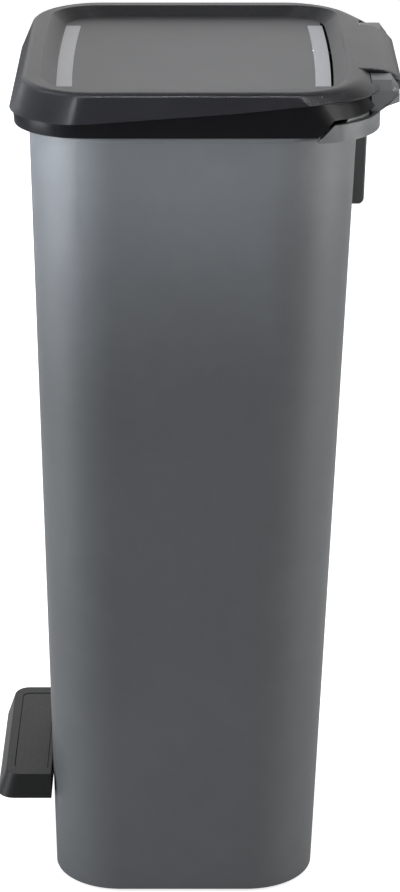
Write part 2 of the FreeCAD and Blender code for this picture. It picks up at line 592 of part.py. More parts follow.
# ------------------------------------------------------------------ the lid
def make_lid_cover():
    body = new_body("lid_cover")
    reach(body, "flare", lambda level: lid_outline("0", level), "crease_low", "lid_top")
    reach(body, "inside", lambda level: lid_outline("cover_wall", level), "crease_low",
          "lid_top - cover_top", True)
    grow = "cover_wall + 0.3"
    tray_low = rounded(body, "tray_low", "panel_level - cover_wall",
                       (f"panel_half + {grow}", f"panel_front - ({grow})", f"panel_rear + {grow}",
                        f"panel_radius + {grow}"))
    tray_high = rounded(body, "tray_high", "lid_top - 1",
                        (f"recess_half + {grow}", f"recess_front - ({grow})",
                         f"recess_rear + {grow}", f"recess_radius + {grow}"))
    loft(body, "tray", tray_low, tray_high)
    recess_low = rounded(body, "recess_low", "panel_level",
                         ("panel_half", "panel_front", "panel_rear", "panel_radius"))
    recess_high = rounded(body, "recess_high", "lid_top",
                          ("recess_half", "recess_front", "recess_rear", "recess_radius"))
    loft(body, "recess", recess_low, recess_high, cut=True)
    edge = polygon(body, "lower_edge", [
        ("crease_start", "crease_low"), ("crease_start", "crease_low - 5"),
        ("skirt_rear + 5", "crease_low - 5"), ("skirt_rear + 5", "crease_high"),
        ("crease_end", "crease_high")], "YZ_Plane")
    pocket(edge, "2 * skirt_half + 20", both_ways=True)
    tongue = polygon(body, "tongue", [
        ("tongue_root", "lid_top"), ("tongue_bend", "tongue_bend_level"),
        ("tongue_fall", "tongue_fall_level"), ("tongue_end", "tongue_tip_high"),
        ("tongue_end", "tongue_tip_low"), ("tongue_end - tongue_wall", "tongue_tip_low"),
        ("tongue_end - tongue_wall", "tongue_tip_high - 1"),
        ("tongue_fall - 1", "tongue_fall_level - tongue_wall"),
        ("tongue_bend - 10", "tongue_bend_level - 2"),
        ("tongue_root", "lid_top - cover_top")], "YZ_Plane")
    pad(tongue, "2 * tongue_half", both_ways=True)
    for side, start in (("left", "-tongue_half"), ("right", "tongue_half - barrel_length")):
        barrel = polygon(body, f"barrel_{side}", octagon("hinge_y", "hinge_z", "barrel_radius"),
                         "YZ_Plane", start)
        pad(barrel, "barrel_length")
        web = polygon(body, f"web_{side}", [
            ("hinge_y - 7", "hinge_z"), ("hinge_y + 7", "hinge_z"),
            ("hinge_y + 8", "hinge_z + 6"), ("hinge_y - 9", "672.5")], "YZ_Plane", start)
        pad(web, "barrel_length")
    bore = discs(body, "bores", [("hinge_y", "hinge_z")], "pin_radius + pin_fit", "YZ_Plane")
    pocket(bore, "2 * tongue_half + 2", both_ways=True)
    for name, corners in strip_sections("0").items():
        pocket(polygon(body, f"{name}_seat", corners, "YZ_Plane"), "2 * strip_half", both_ways=True)


def clear_lugs(body):
    """Room round the hinge axis, so that the lid turns past the two lugs."""
    for side, start in (("left", "-lug_outer - 2"), ("right", "tongue_half")):
        disc = discs(body, f"lug_room_{side}", [("hinge_y", "hinge_z")], "lug_room", "YZ_Plane",
                     start)
        pocket(disc, "lug_outer + 2 - tongue_half", backwards=True)


def octagon(across, up, radius):
    """Eight corners round a centre, with flats at the given distance."""
    half = f"{radius} * 0.41421"
    steps = [(radius, f"-{half}"), (radius, half), (half, radius), (f"-{half}", radius),
             (f"-{radius}", half), (f"-{radius}", f"-{half}"), (f"-{half}", f"-{radius}"),
             (half, f"-{radius}")]
    return [(f"{across} + ({a})", f"{up} + ({b})") for a, b in steps]


def strip_sections(gap):
    """Sections of the two strips, each lying on a sloping end of the recess."""
    sections = {}
    ends = (("front", "recess_front", "panel_front", "-"), ("rear", "recess_rear", "panel_rear", ""))
    for name, top, foot, sign in ends:
        out = f"{sign}strip_sink * 0.6"
        down = "strip_sink * 0.8"
        sections[f"inlay_{name}"] = [
            (top, "lid_top"), (foot, f"panel_level + {gap}"),
            (f"{foot} + ({out})", f"panel_level - {down} + {gap}"),
            (f"{top} + ({out})", f"lid_top - {down}")]
    return sections


def make_inlays():
    for name, corners in strip_sections("0").items():
        body = new_body(name)
        pad(polygon(body, "section", corners, "YZ_Plane"), "2 * strip_half - 0.2", both_ways=True)


def make_lid_frame():
    body = new_body("lid_frame")
    for name, inset, cut in (("skirt", "frame_inset", False),
                             ("hollow", "frame_inset + frame_wall", True)):
        foot = rounded(body, f"{name}_foot", "skirt_low",
                       lid_outline(f"{inset} + skirt_tuck", "crease_low"))
        bend = rounded(body, f"{name}_bend", "crease_low", lid_outline(inset, "crease_low"))
        loft(body, f"{name}_band", foot, bend, cut)
        reach(body, f"{name}_flare", lambda level: lid_outline(inset, level), "crease_low",
              "frame_top", cut)
    rim = lid_outline("frame_inset + 1", "frame_top - ledge_thick")
    clear = "cover_wall + 1"
    tray = (f"recess_half + {clear}", f"recess_front - ({clear})", f"recess_rear + {clear}",
            f"recess_radius + {clear}")
    pad(rounded(body, "ledge", "frame_top - ledge_thick", rim, tray), "ledge_thick")
    rib_out = ("rib_half", "rib_front", "rib_rear", "rib_radius")
    rib_in = ("rib_half - rib_wall", "rib_front + rib_wall", "rib_rear - rib_wall",
              "rib_radius - rib_wall")
    pad(rounded(body, "rib", "rib_low", rib_out, rib_in), "frame_top - ledge_thick - rib_low + 0.5")
    rear = polygon(body, "rear_edge", [
        ("88", "skirt_low - 5"), ("92.5", "skirt_low"), ("105", "653.5"), ("150", "654.5"),
        ("150", "skirt_low - 5")], "YZ_Plane")
    pocket(rear, "2 * skirt_half + 20", both_ways=True)
    clear_lugs(body)
    notch = polygon(body, "rod_notch", [
        ("-10.5", "skirt_low - 5"), ("10.5", "skirt_low - 5"), ("10.5", "frame_top + 5"),
        ("-10.5", "frame_top + 5")], "XZ_Plane", "-117")
    pocket(notch, "40")


def make_lid_details():
    foot = new_body("lift_pad")
    pad(polygon(foot, "section", [
        ("120.5", "lid_top - cover_top - 0.1"), ("123", "lid_top - cover_top - 0.1"),
        ("123", "657"), ("127", "657"), ("127", "651.7"), ("120.5", "651.7")], "YZ_Plane"),
        "16", both_ways=True)
    blocks = []
    low = number("tub_height + 0.3")
    high = number("rib_low")
    for x in (-1, 1):
        for y in (-60, 36):
            middle = x * number("rib_half - rib_wall")
            blocks.append(Part.makeBox(5, 14, high - low, FreeCAD.Vector(middle - 2.5, y, low)))
    shape_part("lid_buffers", Part.makeCompound(blocks))


# -------------------------------------------------------------- the bag ring
def make_bag_ring():
    body = new_body("bag_ring")
    flange = ("ring_half", "ring_front", "ring_rear", "ring_radius")
    step = ("ring_half - ring_step - ring_thick", "ring_front + ring_step + ring_thick",
            "ring_rear - ring_step - ring_thick", "ring_radius - ring_step - ring_thick")
    hang = ("ring_half - ring_step", "ring_front + ring_step", "ring_rear - ring_step",
            "ring_radius - ring_step")
    pad(rounded(body, "flange", "tub_height", flange, step), "ring_thick")
    pad(rounded(body, "hanging_wall", "tub_height - ring_drop", hang, step),
        "ring_drop + ring_thick / 2")
    return body


# ---------------------------------------------------------- build and export
make_tub()
make_base()
make_axle()
make_pedal()
make_rod()
make_collar()
make_rod_cover()
make_lid_cover()
make_inlays()
make_lid_frame()
make_lid_details()
make_bag_ring()
doc.recompute()

for item in doc.Objects:
    if "Invalid" in item.State or "Error" in item.State:
        raise RuntimeError(f"{item.Label} failed: {item.State}")
os.makedirs("parts", exist_ok=True)
for sub_part in sub_parts:
    shape = sub_part.Shape
    if shape.isNull() or not shape.isValid():
        raise RuntimeError(f"{sub_part.Label} has no valid shape")
    print(f"{sub_part.Label}: {len(shape.Solids)} solid(s), {shape.Volume / 1000:.1f} cm3")
    shape.exportStep(f"parts/{sub_part.Label}.step")
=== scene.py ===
# %% [markdown]
# # A slim pedal trash can
# The bin is a tall plastic tub with a hinged lid, a foot pedal and a lift rod.  The CAD frame
# already holds every piece at its true size.  This lesson gives the pieces that show their
# moulded shapes, with rounded edges, and gives every surface a finish with grain and wear.

# %% Load the frame
import math

import bmesh
import bpy
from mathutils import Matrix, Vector


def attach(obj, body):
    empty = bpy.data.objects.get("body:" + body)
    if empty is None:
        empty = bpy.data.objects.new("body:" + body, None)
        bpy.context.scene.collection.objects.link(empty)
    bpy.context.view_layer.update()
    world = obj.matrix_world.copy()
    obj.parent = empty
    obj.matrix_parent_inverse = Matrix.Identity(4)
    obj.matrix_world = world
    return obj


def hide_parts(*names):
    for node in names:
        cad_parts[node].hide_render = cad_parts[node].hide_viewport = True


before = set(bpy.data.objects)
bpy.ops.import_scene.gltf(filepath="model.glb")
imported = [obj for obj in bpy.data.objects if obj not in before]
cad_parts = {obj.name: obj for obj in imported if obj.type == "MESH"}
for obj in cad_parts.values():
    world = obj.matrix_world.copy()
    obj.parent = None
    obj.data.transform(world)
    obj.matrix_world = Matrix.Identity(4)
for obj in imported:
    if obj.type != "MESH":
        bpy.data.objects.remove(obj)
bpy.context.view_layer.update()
MM = 0.001

# %% [markdown]
# ## The camera
# The bin is seen from its right side, from above the lid.  A long lens keeps the tall sides
# nearly upright, as a product photographer would.

# %% Set up the camera
CAMERA_PLACE = (2.3626, 0.0059, 1.2647)
CAMERA_PITCH = math.radians(21.3)
LENS = 126.2

camera_data = bpy.data.cameras.new("camera")
camera_data.lens = LENS
camera_data.clip_end = 50
camera = bpy.data.objects.new("camera", camera_data)
camera.location = CAMERA_PLACE
camera.rotation_euler = (math.pi / 2 - CAMERA_PITCH, 0, math.pi / 2)
bpy.context.scene.collection.objects.link(camera)
bpy.context.scene.camera = camera
bpy.context.scene.view_settings.view_transform = "Standard"
print("camera with a lens of", LENS, "mm")

# %% [markdown]
# ## Starting shapes
# Every piece starts as a primitive: a cube, a cylinder, or a single point that is drawn out
# into a side profile.  The helpers take millimetres, because that is how a moulder thinks, and
# leave the place in the mesh, with the object at the origin.

# %% Primitives at their size and place
def deselect():
    """Leaves nothing selected, so that an operator touches only the new piece."""
    if bpy.context.mode != "OBJECT":
        bpy.ops.object.mode_set(mode="OBJECT")
    bpy.ops.object.select_all(action="DESELECT")


def named(name):
    """Names the new piece and puts its place into its mesh."""
    piece = bpy.context.object
    piece.name = name
    piece.data.name = name
    bpy.ops.object.transform_apply(location=True, rotation=True, scale=True)
    return piece


def block(name, low, high):
    """A cube between two corners."""
    deselect()
    low, high = Vector(low) * MM, Vector(high) * MM
    bpy.ops.mesh.primitive_cube_add(size=1, location=(low + high) / 2, scale=high - low)
    return named(name)


def rod_across(name, radius, low_x, high_x, y, z, sides=64):
    """A cylinder that lies along X."""
    deselect()
    middle = Vector(((low_x + high_x) / 2, y, z)) * MM
    bpy.ops.mesh.primitive_cylinder_add(vertices=sides, radius=radius * MM,
                                        depth=(high_x - low_x) * MM, location=middle,
                                        rotation=(0, math.pi / 2, 0))
    return named(name)


def post(name, radius, low, high, x, y, sides=32):
    """A cylinder that stands upright."""
    deselect()
    middle = Vector((x, y, (low + high) / 2)) * MM
    bpy.ops.mesh.primitive_cylinder_add(vertices=sides, radius=radius * MM,
                                        depth=(high - low) * MM, location=middle)
    return named(name)


print("primitives ready")

# %% [markdown]
# ## Choosing and shaping
# In edit mode a person picks faces and edges by looking.  Here they are picked by where they
# are and where they point, and then an operator works on the choice.

# %% Choices in edit mode
def edit(piece, kind="FACE"):
    """Opens a piece in edit mode, with nothing chosen."""
    deselect()
    bpy.context.view_layer.objects.active = piece
    piece.select_set(True)
    bpy.ops.object.mode_set(mode="EDIT")
    bpy.ops.mesh.select_mode(type=kind)
    bpy.ops.mesh.select_all(action="DESELECT")


def done():
    bpy.ops.object.mode_set(mode="OBJECT")


def choose_faces(piece, test):
    """Chooses the faces whose middle, in millimetres, and normal pass the test."""
    mesh = bmesh.from_edit_mesh(piece.data)
    for face in mesh.faces:
        face.select_set(bool(test(face.calc_center_median() / MM, face.normal)))
    mesh.select_flush_mode()
    bmesh.update_edit_mesh(piece.data)


def choose_edges(piece, test):
    """Chooses the edges whose two ends, in millimetres, pass the test."""
    mesh = bmesh.from_edit_mesh(piece.data)
    for edge in mesh.edges:
        edge.select_set(bool(test(edge.verts[0].co / MM, edge.verts[1].co / MM)))
    bmesh.update_edit_mesh(piece.data)


def choose_points(piece, test):
    """Chooses the points whose place, in millimetres, passes the test."""
    mesh = bmesh.from_edit_mesh(piece.data)
    for point in mesh.verts:
        point.select_set(bool(test(point.co / MM)))
    mesh.select_flush(True)
    bmesh.update_edit_mesh(piece.data)


def move(x=0.0, y=0.0, z=0.0):
    bpy.ops.transform.translate(value=Vector((x, y, z)) * MM)


def extrude(x=0.0, y=0.0, z=0.0):
    step = Vector((x, y, z)) * MM
    bpy.ops.mesh.extrude_region_move(TRANSFORM_OT_translate={"value": step})


def outline_middle(outline):
    """Half way between the front and the rear of an outline (half width, front, rear)."""
    return (outline[1] + outline[2]) / 2


def refit(now, wanted, level):
    """Scales and moves the choice, so that one outline becomes another."""
    wider = wanted[0] / now[0]
    longer = (wanted[2] - wanted[1]) / (now[2] - now[1])
    centre = Vector((0, outline_middle(now), level)) * MM
    bpy.ops.transform.resize(value=(wider, longer, 1), center_override=centre)
    move(y=outline_middle(wanted) - outline_middle(now))


print("choices ready")

# %% [markdown]
# A moulded tub or lid is a block with tapered sides and rounded upright corners.  The corners
# are bevelled first, and then the top face is scaled, so that the corners taper with the sides.
# Small brackets are easier as a side profile, drawn point by point and then extruded across.

# %% Moulded blocks and profiles
def rounded_block(name, low, high, bottom, top, radius, segments=16):
    """A block with rounded corners.  bottom and top are (half width, front, rear)."""
    half, front, rear = bottom
    piece = block(name, (-half, front, low), (half, rear, high))
    edit(piece, "EDGE")
    choose_edges(piece, lambda a, b: abs(a.z - b.z) > (high - low) / 2)
    bpy.ops.mesh.bevel(offset=radius * MM, segments=segments, affect="EDGES")
    bpy.ops.mesh.select_mode(type="FACE")
    choose_faces(piece, lambda centre, normal: normal.z > 0.9)
    refit(bottom, top, high)
    done()
    return piece


def prism(name, low_x, high_x, profile):
    """A side profile of (y, z) corners, drawn from one point, filled, and extruded across."""
    deselect()
    bpy.ops.mesh.primitive_plane_add(size=1)
    piece = named(name)
    edit(piece, "VERT")
    bpy.ops.mesh.select_all(action="SELECT")
    bpy.ops.mesh.merge(type="CENTER")
    bpy.ops.mesh.select_all(action="SELECT")
    move(low_x, *profile[0])
    for (y, z), (next_y, next_z) in zip(profile, profile[1:]):
        step = Vector((0, next_y - y, next_z - z)) * MM
        bpy.ops.mesh.extrude_vertices_move(TRANSFORM_OT_translate={"value": step})
    bpy.ops.mesh.select_all(action="SELECT")
    bpy.ops.mesh.edge_face_add()
    bpy.ops.mesh.select_mode(type="FACE")
    bpy.ops.mesh.select_all(action="SELECT")
    extrude(high_x - low_x)
    bpy.ops.mesh.select_all(action="SELECT")
    bpy.ops.mesh.normals_make_consistent(inside=False)
    done()
    return piece


def slice_at(piece, point, normal, test=None, drop=False):
    """Cuts faces along a plane.  With drop, what the normal points to is taken away."""
    edit(piece)
    choose_faces(piece, test or (lambda centre, face_normal: True))
    bpy.ops.mesh.bisect(plane_co=Vector(point) * MM, plane_no=normal, clear_outer=drop)
    done()


def remove_faces(piece, test):
    edit(piece)
    choose_faces(piece, test)
    bpy.ops.mesh.delete(type="FACE")
    done()


print("moulded blocks ready")

# %% [markdown]
# Modifiers finish a piece: a shell gets its wall, a hole is cut with a tool, ribs are welded
# on, and edges are rounded, because no moulded edge is ever truly sharp.

# %% Finishing
def use(piece, kind, **settings):
    """Adds a modifier, sets it, and applies it."""
    deselect()
    bpy.context.view_layer.objects.active = piece
    piece.select_set(True)
    modifier = piece.modifiers.new(kind.lower(), kind)
    for key, value in settings.items():
        setattr(modifier, key, value)
    bpy.ops.object.modifier_apply(modifier=modifier.name)


def wall(piece, thickness):
    """Gives an open shell its wall, inwards."""
    use(piece, "SOLIDIFY", thickness=thickness * MM, offset=-1, use_even_offset=True)


def round_edges(piece, width, segments=2, angle=35):
    """Rounds every edge that is sharper than the angle."""
    use(piece, "BEVEL", width=width * MM, segments=segments, limit_method="ANGLE",
        angle_limit=math.radians(angle), miter_outer="MITER_ARC")


def smooth(piece, angle=30):
    """Smooth shading, with the flat faces kept flat."""
    deselect()
    bpy.context.view_layer.objects.active = piece
    piece.select_set(True)
    bpy.ops.object.shade_smooth_by_angle(angle=math.radians(angle))
    use(piece, "WEIGHTED_NORMAL", keep_sharp=True)


def cut(piece, *tools):
    """Takes the tools' shapes out of a piece."""
    for tool in tools:
        use(piece, "BOOLEAN", operation="DIFFERENCE", object=tool, solver="EXACT")
        bpy.data.objects.remove(tool)


def weld(piece, *others):
    """Grows other closed shapes into a piece."""
    for other in others:
        use(piece, "BOOLEAN", operation="UNION", object=other, solver="EXACT")
        bpy.data.objects.remove(other)


def mirrored(piece, name):
    """A copy for the other side, with its own mesh."""
    deselect()
    bpy.context.view_layer.objects.active = piece
    piece.select_set(True)
    bpy.ops.object.duplicate()
    twin = named(name)
    edit(twin)
    bpy.ops.mesh.select_all(action="SELECT")
    bpy.ops.transform.resize(value=(-1, 1, 1), center_override=(0, 0, 0))
    bpy.ops.mesh.flip_normals()
    done()
    return twin


print("finishing ready")

# %% [markdown]
# ## The tub
# The tub is moulded in one shot of polypropylene: thin tapered walls, a floor well above the
# ground, a bead round the rim that the collar and the bag ring sit on, a slot at the front for
# the pedal's lever, and a groove down the back where the lift rod runs.  It starts as one rounded block,
# because every wall then tapers with the outside.

# %% Lines that the tub's pieces share
TUB_LOW, TUB_TOP = 2.0, 639.5
TUB_FOOT = (118.9, -112.8, 97.5)
TUB_RIM = (127.8, -123.5, 124.9)
TUB_WALL = 2.5
FLOOR_UNDER, FLOOR_UPPER = 104.0, 106.5


def tub_line(level, inset=0.0):
    """The tub's outline at a height, moved in by an amount."""
    share = (level - TUB_LOW) / (TUB_TOP - TUB_LOW)
    half, front, rear = (foot + (rim - foot) * share for foot, rim in zip(TUB_FOOT, TUB_RIM))
    return half - inset, front + inset, rear - inset


def rod_line(level):
    """How far back the middle of the lift rod is at a height."""
    return 86.0 + (level - 60.0) * 40.3 / 587.0


print("rod at the rim is", round(rod_line(TUB_TOP), 1), "mm back")

# %% Block out the tub with its bead
BEAD_LOW, BEAD_OUT = 636.0, 6.7

tub = rounded_block("bin_tub", TUB_LOW, TUB_TOP, TUB_FOOT, TUB_RIM, 54.0, segments=24)
slice_at(tub, (0, 0, BEAD_LOW), (0, 0, 1))
edit(tub)
choose_faces(tub, lambda centre, normal: centre.z > BEAD_LOW and normal.z < 0.5)
bpy.ops.mesh.extrude_region_shrink_fatten(
    TRANSFORM_OT_shrink_fatten={"value": BEAD_OUT * MM, "use_even_offset": True})
done()
print("tub", len(tub.data.polygons), "faces", [round(value / MM, 1) for value in tub.dimensions])

# %% Hollow it from above and below
def sink(piece, from_level, to_level, up):
    """Insets the end face of the tub and pushes it in, along the taper of the walls."""
    edit(piece)
    way = 1 if up else -1
    choose_faces(piece, lambda centre, normal: (
        abs(centre.z - from_level) < 0.1 and normal.z * way < -0.9
        and math.hypot(centre.x, centre.y) < 30))
    bpy.ops.mesh.inset(thickness=TUB_WALL * MM)
    extrude(z=to_level - from_level)
    refit(tub_line(from_level, TUB_WALL), tub_line(to_level, TUB_WALL), to_level)
    done()


sink(tub, TUB_TOP, FLOOR_UPPER, up=False)
sink(tub, TUB_LOW, FLOOR_UNDER, up=True)
round_edges(tub, 0.9, segments=2)
print("hollow tub", len(tub.data.polygons), "faces")

# %% Rod channel, pedal slot and screw posts
RIB_HALF, GROOVE_HALF = 11.5, 9.0
GROOVE_GAP, GROOVE_WALL = 5.0, 2.5
SLOT_HALF, SLOT_LOW, SLOT_HIGH = 24.0, 52.0, 92.0
POSTS = ((-100, -58), (100, -58), (-100, 44), (100, 44))

rib_low, rib_high = FLOOR_UNDER + 1, TUB_TOP - 0.3
rib = prism("rib", -RIB_HALF, RIB_HALF, (
    (rod_line(rib_low) - GROOVE_GAP - GROOVE_WALL, rib_low),
    (tub_line(rib_low)[2] - 1.2, rib_low),
    (tub_line(rib_high)[2] - 1.2, rib_high),
    (rod_line(rib_high) - GROOVE_GAP - GROOVE_WALL, rib_high)))
weld(tub, rib)
groove_low, groove_high = FLOOR_UNDER - 1, TUB_TOP + 3
groove = prism("groove", -GROOVE_HALF, GROOVE_HALF, (
    (rod_line(groove_low) - GROOVE_GAP, groove_low),
    (tub_line(groove_low)[2] + 6, groove_low),
    (tub_line(groove_high)[2] + 14, groove_high),
    (rod_line(groove_high) - GROOVE_GAP, groove_high)))
cut(tub, groove)
slot_tool = block("slot_tool", (-SLOT_HALF, -140, SLOT_LOW), (SLOT_HALF, -70, SLOT_HIGH))
round_edges(slot_tool, 5, segments=4)
cut(tub, slot_tool)
for x, y in POSTS:
    weld(tub, post("post", 5, 7, FLOOR_UNDER + 1, x, y))
smooth(tub)
print("tub", len(tub.data.polygons), "faces")

# %% [markdown]
# ## The bag ring
# A loose ring sits inside the rim and clamps the bag.  Its hanging wall is one band, drawn out
# into a flange at the top, and then given its thickness.

# %% Make the bag ring
RING_HANG = (121.5, -117.2, 114.0)
RING_FLANGE = (126.5, -122.2, 119.0)
RING_LOW, RING_TOP = 615.5, 641.5

bag_ring = rounded_block("bag_holder", RING_LOW, RING_TOP, RING_HANG, RING_HANG, 51.0)
remove_faces(bag_ring, lambda centre, normal: abs(normal.z) > 0.9)
edit(bag_ring, "EDGE")
choose_edges(bag_ring, lambda a, b: min(a.z, b.z) > RING_TOP - 0.1)
bpy.ops.mesh.extrude_edges_move(TRANSFORM_OT_translate={"value": (0, 0, 0)})
refit(RING_HANG, RING_FLANGE, RING_TOP)
done()
wall(bag_ring, 2.0)
round_edges(bag_ring, 0.6)
smooth(bag_ring)
print("bag ring", [round(value / MM, 1) for value in bag_ring.dimensions])

# %% [markdown]
# ## The hinge collar
# A grey collar is screwed to the rear of the bead.  A band hugs the back corners, with slanted
# front ends, a shelf ties it to the rim, and two lugs carry the hinge pins.  The ring is cut
# out of rounded blocks, because the band and shelf share their curves.

# %% Band and shelf
BAND_LOW, BAND_HIGH = 637.0, 650.0
BAND = (143.0, -138.4, 141.0)
BAND_RADIUS = 57.0
HINGE_Y, HINGE_Z = 147.0, 661.0


def inside(outline, amount):
    return outline[0] - amount, outline[1] + amount, outline[2] - amount


collar = rounded_block("rear_collar", BAND_LOW, BAND_HIGH, BAND, BAND, BAND_RADIUS, segments=24)
inner_band = inside(BAND, 3.0)
cut(collar, rounded_block("band_hollow", 642.5, 660, inner_band, inner_band, BAND_RADIUS - 3, 24))
cut(collar, rounded_block("band_under", 630, 639.5, inner_band, inner_band, BAND_RADIUS - 3, 24))
opening = tub_line(TUB_TOP, -0.3)
cut(collar, rounded_block("rim_opening", 630, 660, opening, opening, 60.0, 24))
cut(collar, prism("front_cut", -160, 160, ((-160, 620), (75, 620), (115, 660), (-160, 660))))
print("collar ring", len(collar.data.polygons), "faces")

# %% Hinge lugs and inner lip
LUG_INNER, LUG_OUTER = 71.0, 98.0
LUG_SLOPE, LUG_FRONT, LUG_REAR, LUG_TOP = 8.0, 134.0, 155.0, 672.0
LIP_TOP, LIP_OUT, LIP_IN = 652.0, 4.6, 6.0

lug = prism("lug", LUG_INNER, LUG_OUTER, (
    (LUG_FRONT, 640.5), (138.6, 640.5), (140.5, 650), (145, 653.5), (LUG_REAR, 656),
    (LUG_REAR, 664), (149, LUG_TOP), (LUG_FRONT, LUG_TOP)))
slice_at(lug, (LUG_OUTER - LUG_SLOPE, 0, 0), (1, 0, 0))
edit(lug, "VERT")
choose_points(lug, lambda point: point.x > LUG_OUTER - 1 and point.z > LUG_TOP - 1)
move(z=-6)
choose_points(lug, lambda point: point.x > LUG_OUTER - 1 and 663 < point.z < 665)
move(z=-2)
choose_points(lug, lambda point: point.x > LUG_OUTER - 1 and point.y > LUG_REAR - 1)
move(x=-4)
done()
lip_outline, lip_hollow = inside(BAND, LIP_OUT), inside(BAND, LIP_IN)
inner_lip = rounded_block("inner_lip", 641, LIP_TOP, lip_outline, lip_outline, 53, 24)
cut(inner_lip, rounded_block("lip_hollow", 630, 660, lip_hollow, lip_hollow, 51.5, 24))
cut(inner_lip, prism("lip_front", -160, 160, ((-160, 620), (84, 620), (124, 660), (-160, 660))))
cut(inner_lip, block("lip_rear", (-107, 110, 630), (107, 160, 670)))
weld(collar, inner_lip, mirrored(lug, "lug_left"), lug)
for low_x, high_x in ((LUG_INNER - 5, LUG_OUTER - 4), (4 - LUG_OUTER, 5 - LUG_INNER)):
    cut(collar, rod_across("pin_bore", 2.5, low_x, high_x, HINGE_Y, HINGE_Z))
cut(collar, post("rod_hole", 6.5, 630, 660, 0, rod_line(TUB_TOP)))
round_edges(collar, 0.7, angle=40)
smooth(collar)
print("collar", [round(value / MM, 1) for value in collar.dimensions])

# %% [markdown]
# ## The rod cover
# A short tab below the collar hides the top of the lift rod.  Its side profile is drawn and
# extruded, hollowed for the rod, and its edges are rounded.

# %% Make the rod cover
COVER_LOW, COVER_HIGH = 552.0, 635.8

rod_cover = prism("rod_cover_tab", -14, 14, (
    (tub_line(COVER_HIGH)[2] + 0.4, COVER_HIGH), (tub_line(COVER_LOW)[2] + 0.4, COVER_LOW),
    (131.4, COVER_LOW), (134.1, COVER_LOW + 3), (136.4, COVER_HIGH)))
round_edges(rod_cover, 1.5, segments=3)
cut(rod_cover, prism("rod_way", -12, 12, (
    (tub_line(COVER_HIGH)[2] - 5, COVER_HIGH - 2), (tub_line(COVER_LOW)[2] - 5, COVER_LOW + 2),
    (129.5, COVER_LOW + 2), (131.8, COVER_LOW + 6), (134.2, COVER_HIGH - 2))))
for low, high, level in ((630, 640, COVER_HIGH), (540, 550, COVER_LOW)):
    cut(rod_cover, post("rod_hole", 5.5, low, high, 0, rod_line(level)))
smooth(rod_cover)
print("rod cover", [round(value / MM, 1) for value in rod_cover.dimensions])

# %% [markdown]
# ## The lid cover
# The lid's upper shell flares out and down from a shallow tray.  Its lower edge keeps the full
# outline and rises towards the hinge, so a straight block is trimmed first and its top is drawn
# in afterwards.  Then the tray is cut, the block is opened below and given a wall, and the hinge
# tongue and its barrels are welded on.

# %% Flare and tray
LID_TOP, CREASE_LOW, CREASE_HIGH = 676.0, 652.0, 668.6
SKIRT = (145.6, -136.9, 141.2)
RIM = (145.0, -126.5, 125.5)
PANEL_LEVEL = 668.0
PANEL = (126.0, -102.0, 105.0)
TRAY = (132.5, -113.0, 116.5)
STATIONS = range(-84, 85, 12)
BOW, BOW_HALF = 1.8, 94.0


def bow(piece, amount=BOW):
    """Bows the two ends outwards a little, one slice at a time."""
    for x in STATIONS:
        slice_at(piece, (x, 0, 0), (1, 0, 0))
    edit(piece, "VERT")
    for x in STATIONS:
        for side in (-1, 1):
            choose_points(piece, lambda point: abs(point.x - x) < 0.5 and point.y * side > 0)
            move(y=side * amount * (1 - (x / BOW_HALF) ** 2))
    done()


def beyond(low, high, share):
    """The outline that the same slope reaches further on."""
    return tuple(a + (b - a) * share for a, b in zip(low, high))


CREASE_START, CREASE_END = -75.0, 108.0
CREASE_MIDDLE, CREASE_MIDDLE_LEVEL = 35.0, 661.0

lid_cover = rounded_block("lid_top_cover", CREASE_LOW - 5, LID_TOP, SKIRT, SKIRT, 57.0, 24)
cut(lid_cover, prism("lid_trim", -160, 160, (
    (-160, 630), (160, 630), (160, CREASE_HIGH), (CREASE_END, CREASE_HIGH),
    (CREASE_MIDDLE, CREASE_MIDDLE_LEVEL), (CREASE_START, CREASE_LOW + 0.8),
    (-100, CREASE_LOW), (-160, CREASE_LOW))))
edit(lid_cover)
choose_faces(lid_cover, lambda centre, normal: normal.z > 0.9)
refit(SKIRT, RIM, LID_TOP)
bpy.ops.mesh.region_to_loop()
bpy.ops.mesh.bevel(offset=3.4 * MM, segments=6, affect="EDGES")
done()
tray_tool = rounded_block("tray_tool", PANEL_LEVEL, LID_TOP + 4, PANEL, beyond(PANEL, TRAY, 1.5),
                          33.0, segments=16)
bow(tray_tool)
cut(lid_cover, tray_tool)
remove_faces(lid_cover, lambda centre, normal: normal.z < -0.9)
print("lid block", len(lid_cover.data.polygons), "faces")

# %% Wall
wall(lid_cover, 2.2)
round_edges(lid_cover, 0.8, segments=3, angle=32)
print("lid shell", len(lid_cover.data.polygons), "faces")

# %% Hinge tongue and barrels
TONGUE_HALF, BARREL = 70.0, 8.0
END_PULLS = ((69, 71, -5), (65, 67, -2), (60, 62, -0.6))

tongue = prism("tongue", -TONGUE_HALF, TONGUE_HALF, (
    (117, LID_TOP - 0.05), (128, 675.8), (138, 675.2), (144, 674.2), (149, 672.5), (155, 669.3),
    (158.6, 665), (158.6, 657.5), (156, 657.5), (156, 664), (148, 669.5), (128, 673.2),
    (117, 673.4)))
for x in (-61, -66, 66, 61):
    slice_at(tongue, (x, 0, 0), (1, 0, 0))
edit(tongue, "VERT")
for low, high, pull in END_PULLS:
    choose_points(tongue, lambda point: low < abs(point.x) < high and point.y > 152)
    move(y=pull)
choose_points(tongue, lambda point: abs(point.x) > 69 and 147 < point.y < 149.5 and point.z > 668)
move(y=-1.5)
done()
round_edges(tongue, 0.8, segments=2, angle=40)
barrel = rod_across("barrel", BARREL, TONGUE_HALF - 22, TONGUE_HALF, HINGE_Y, HINGE_Z)
web = prism("web", TONGUE_HALF - 21.5, TONGUE_HALF - 0.5, (
    (140, HINGE_Z), (154, HINGE_Z), (155, 667), (138, 672.5)))
weld(barrel, web)
weld(tongue, mirrored(barrel, "barrel_left"), barrel)
weld(lid_cover, tongue)
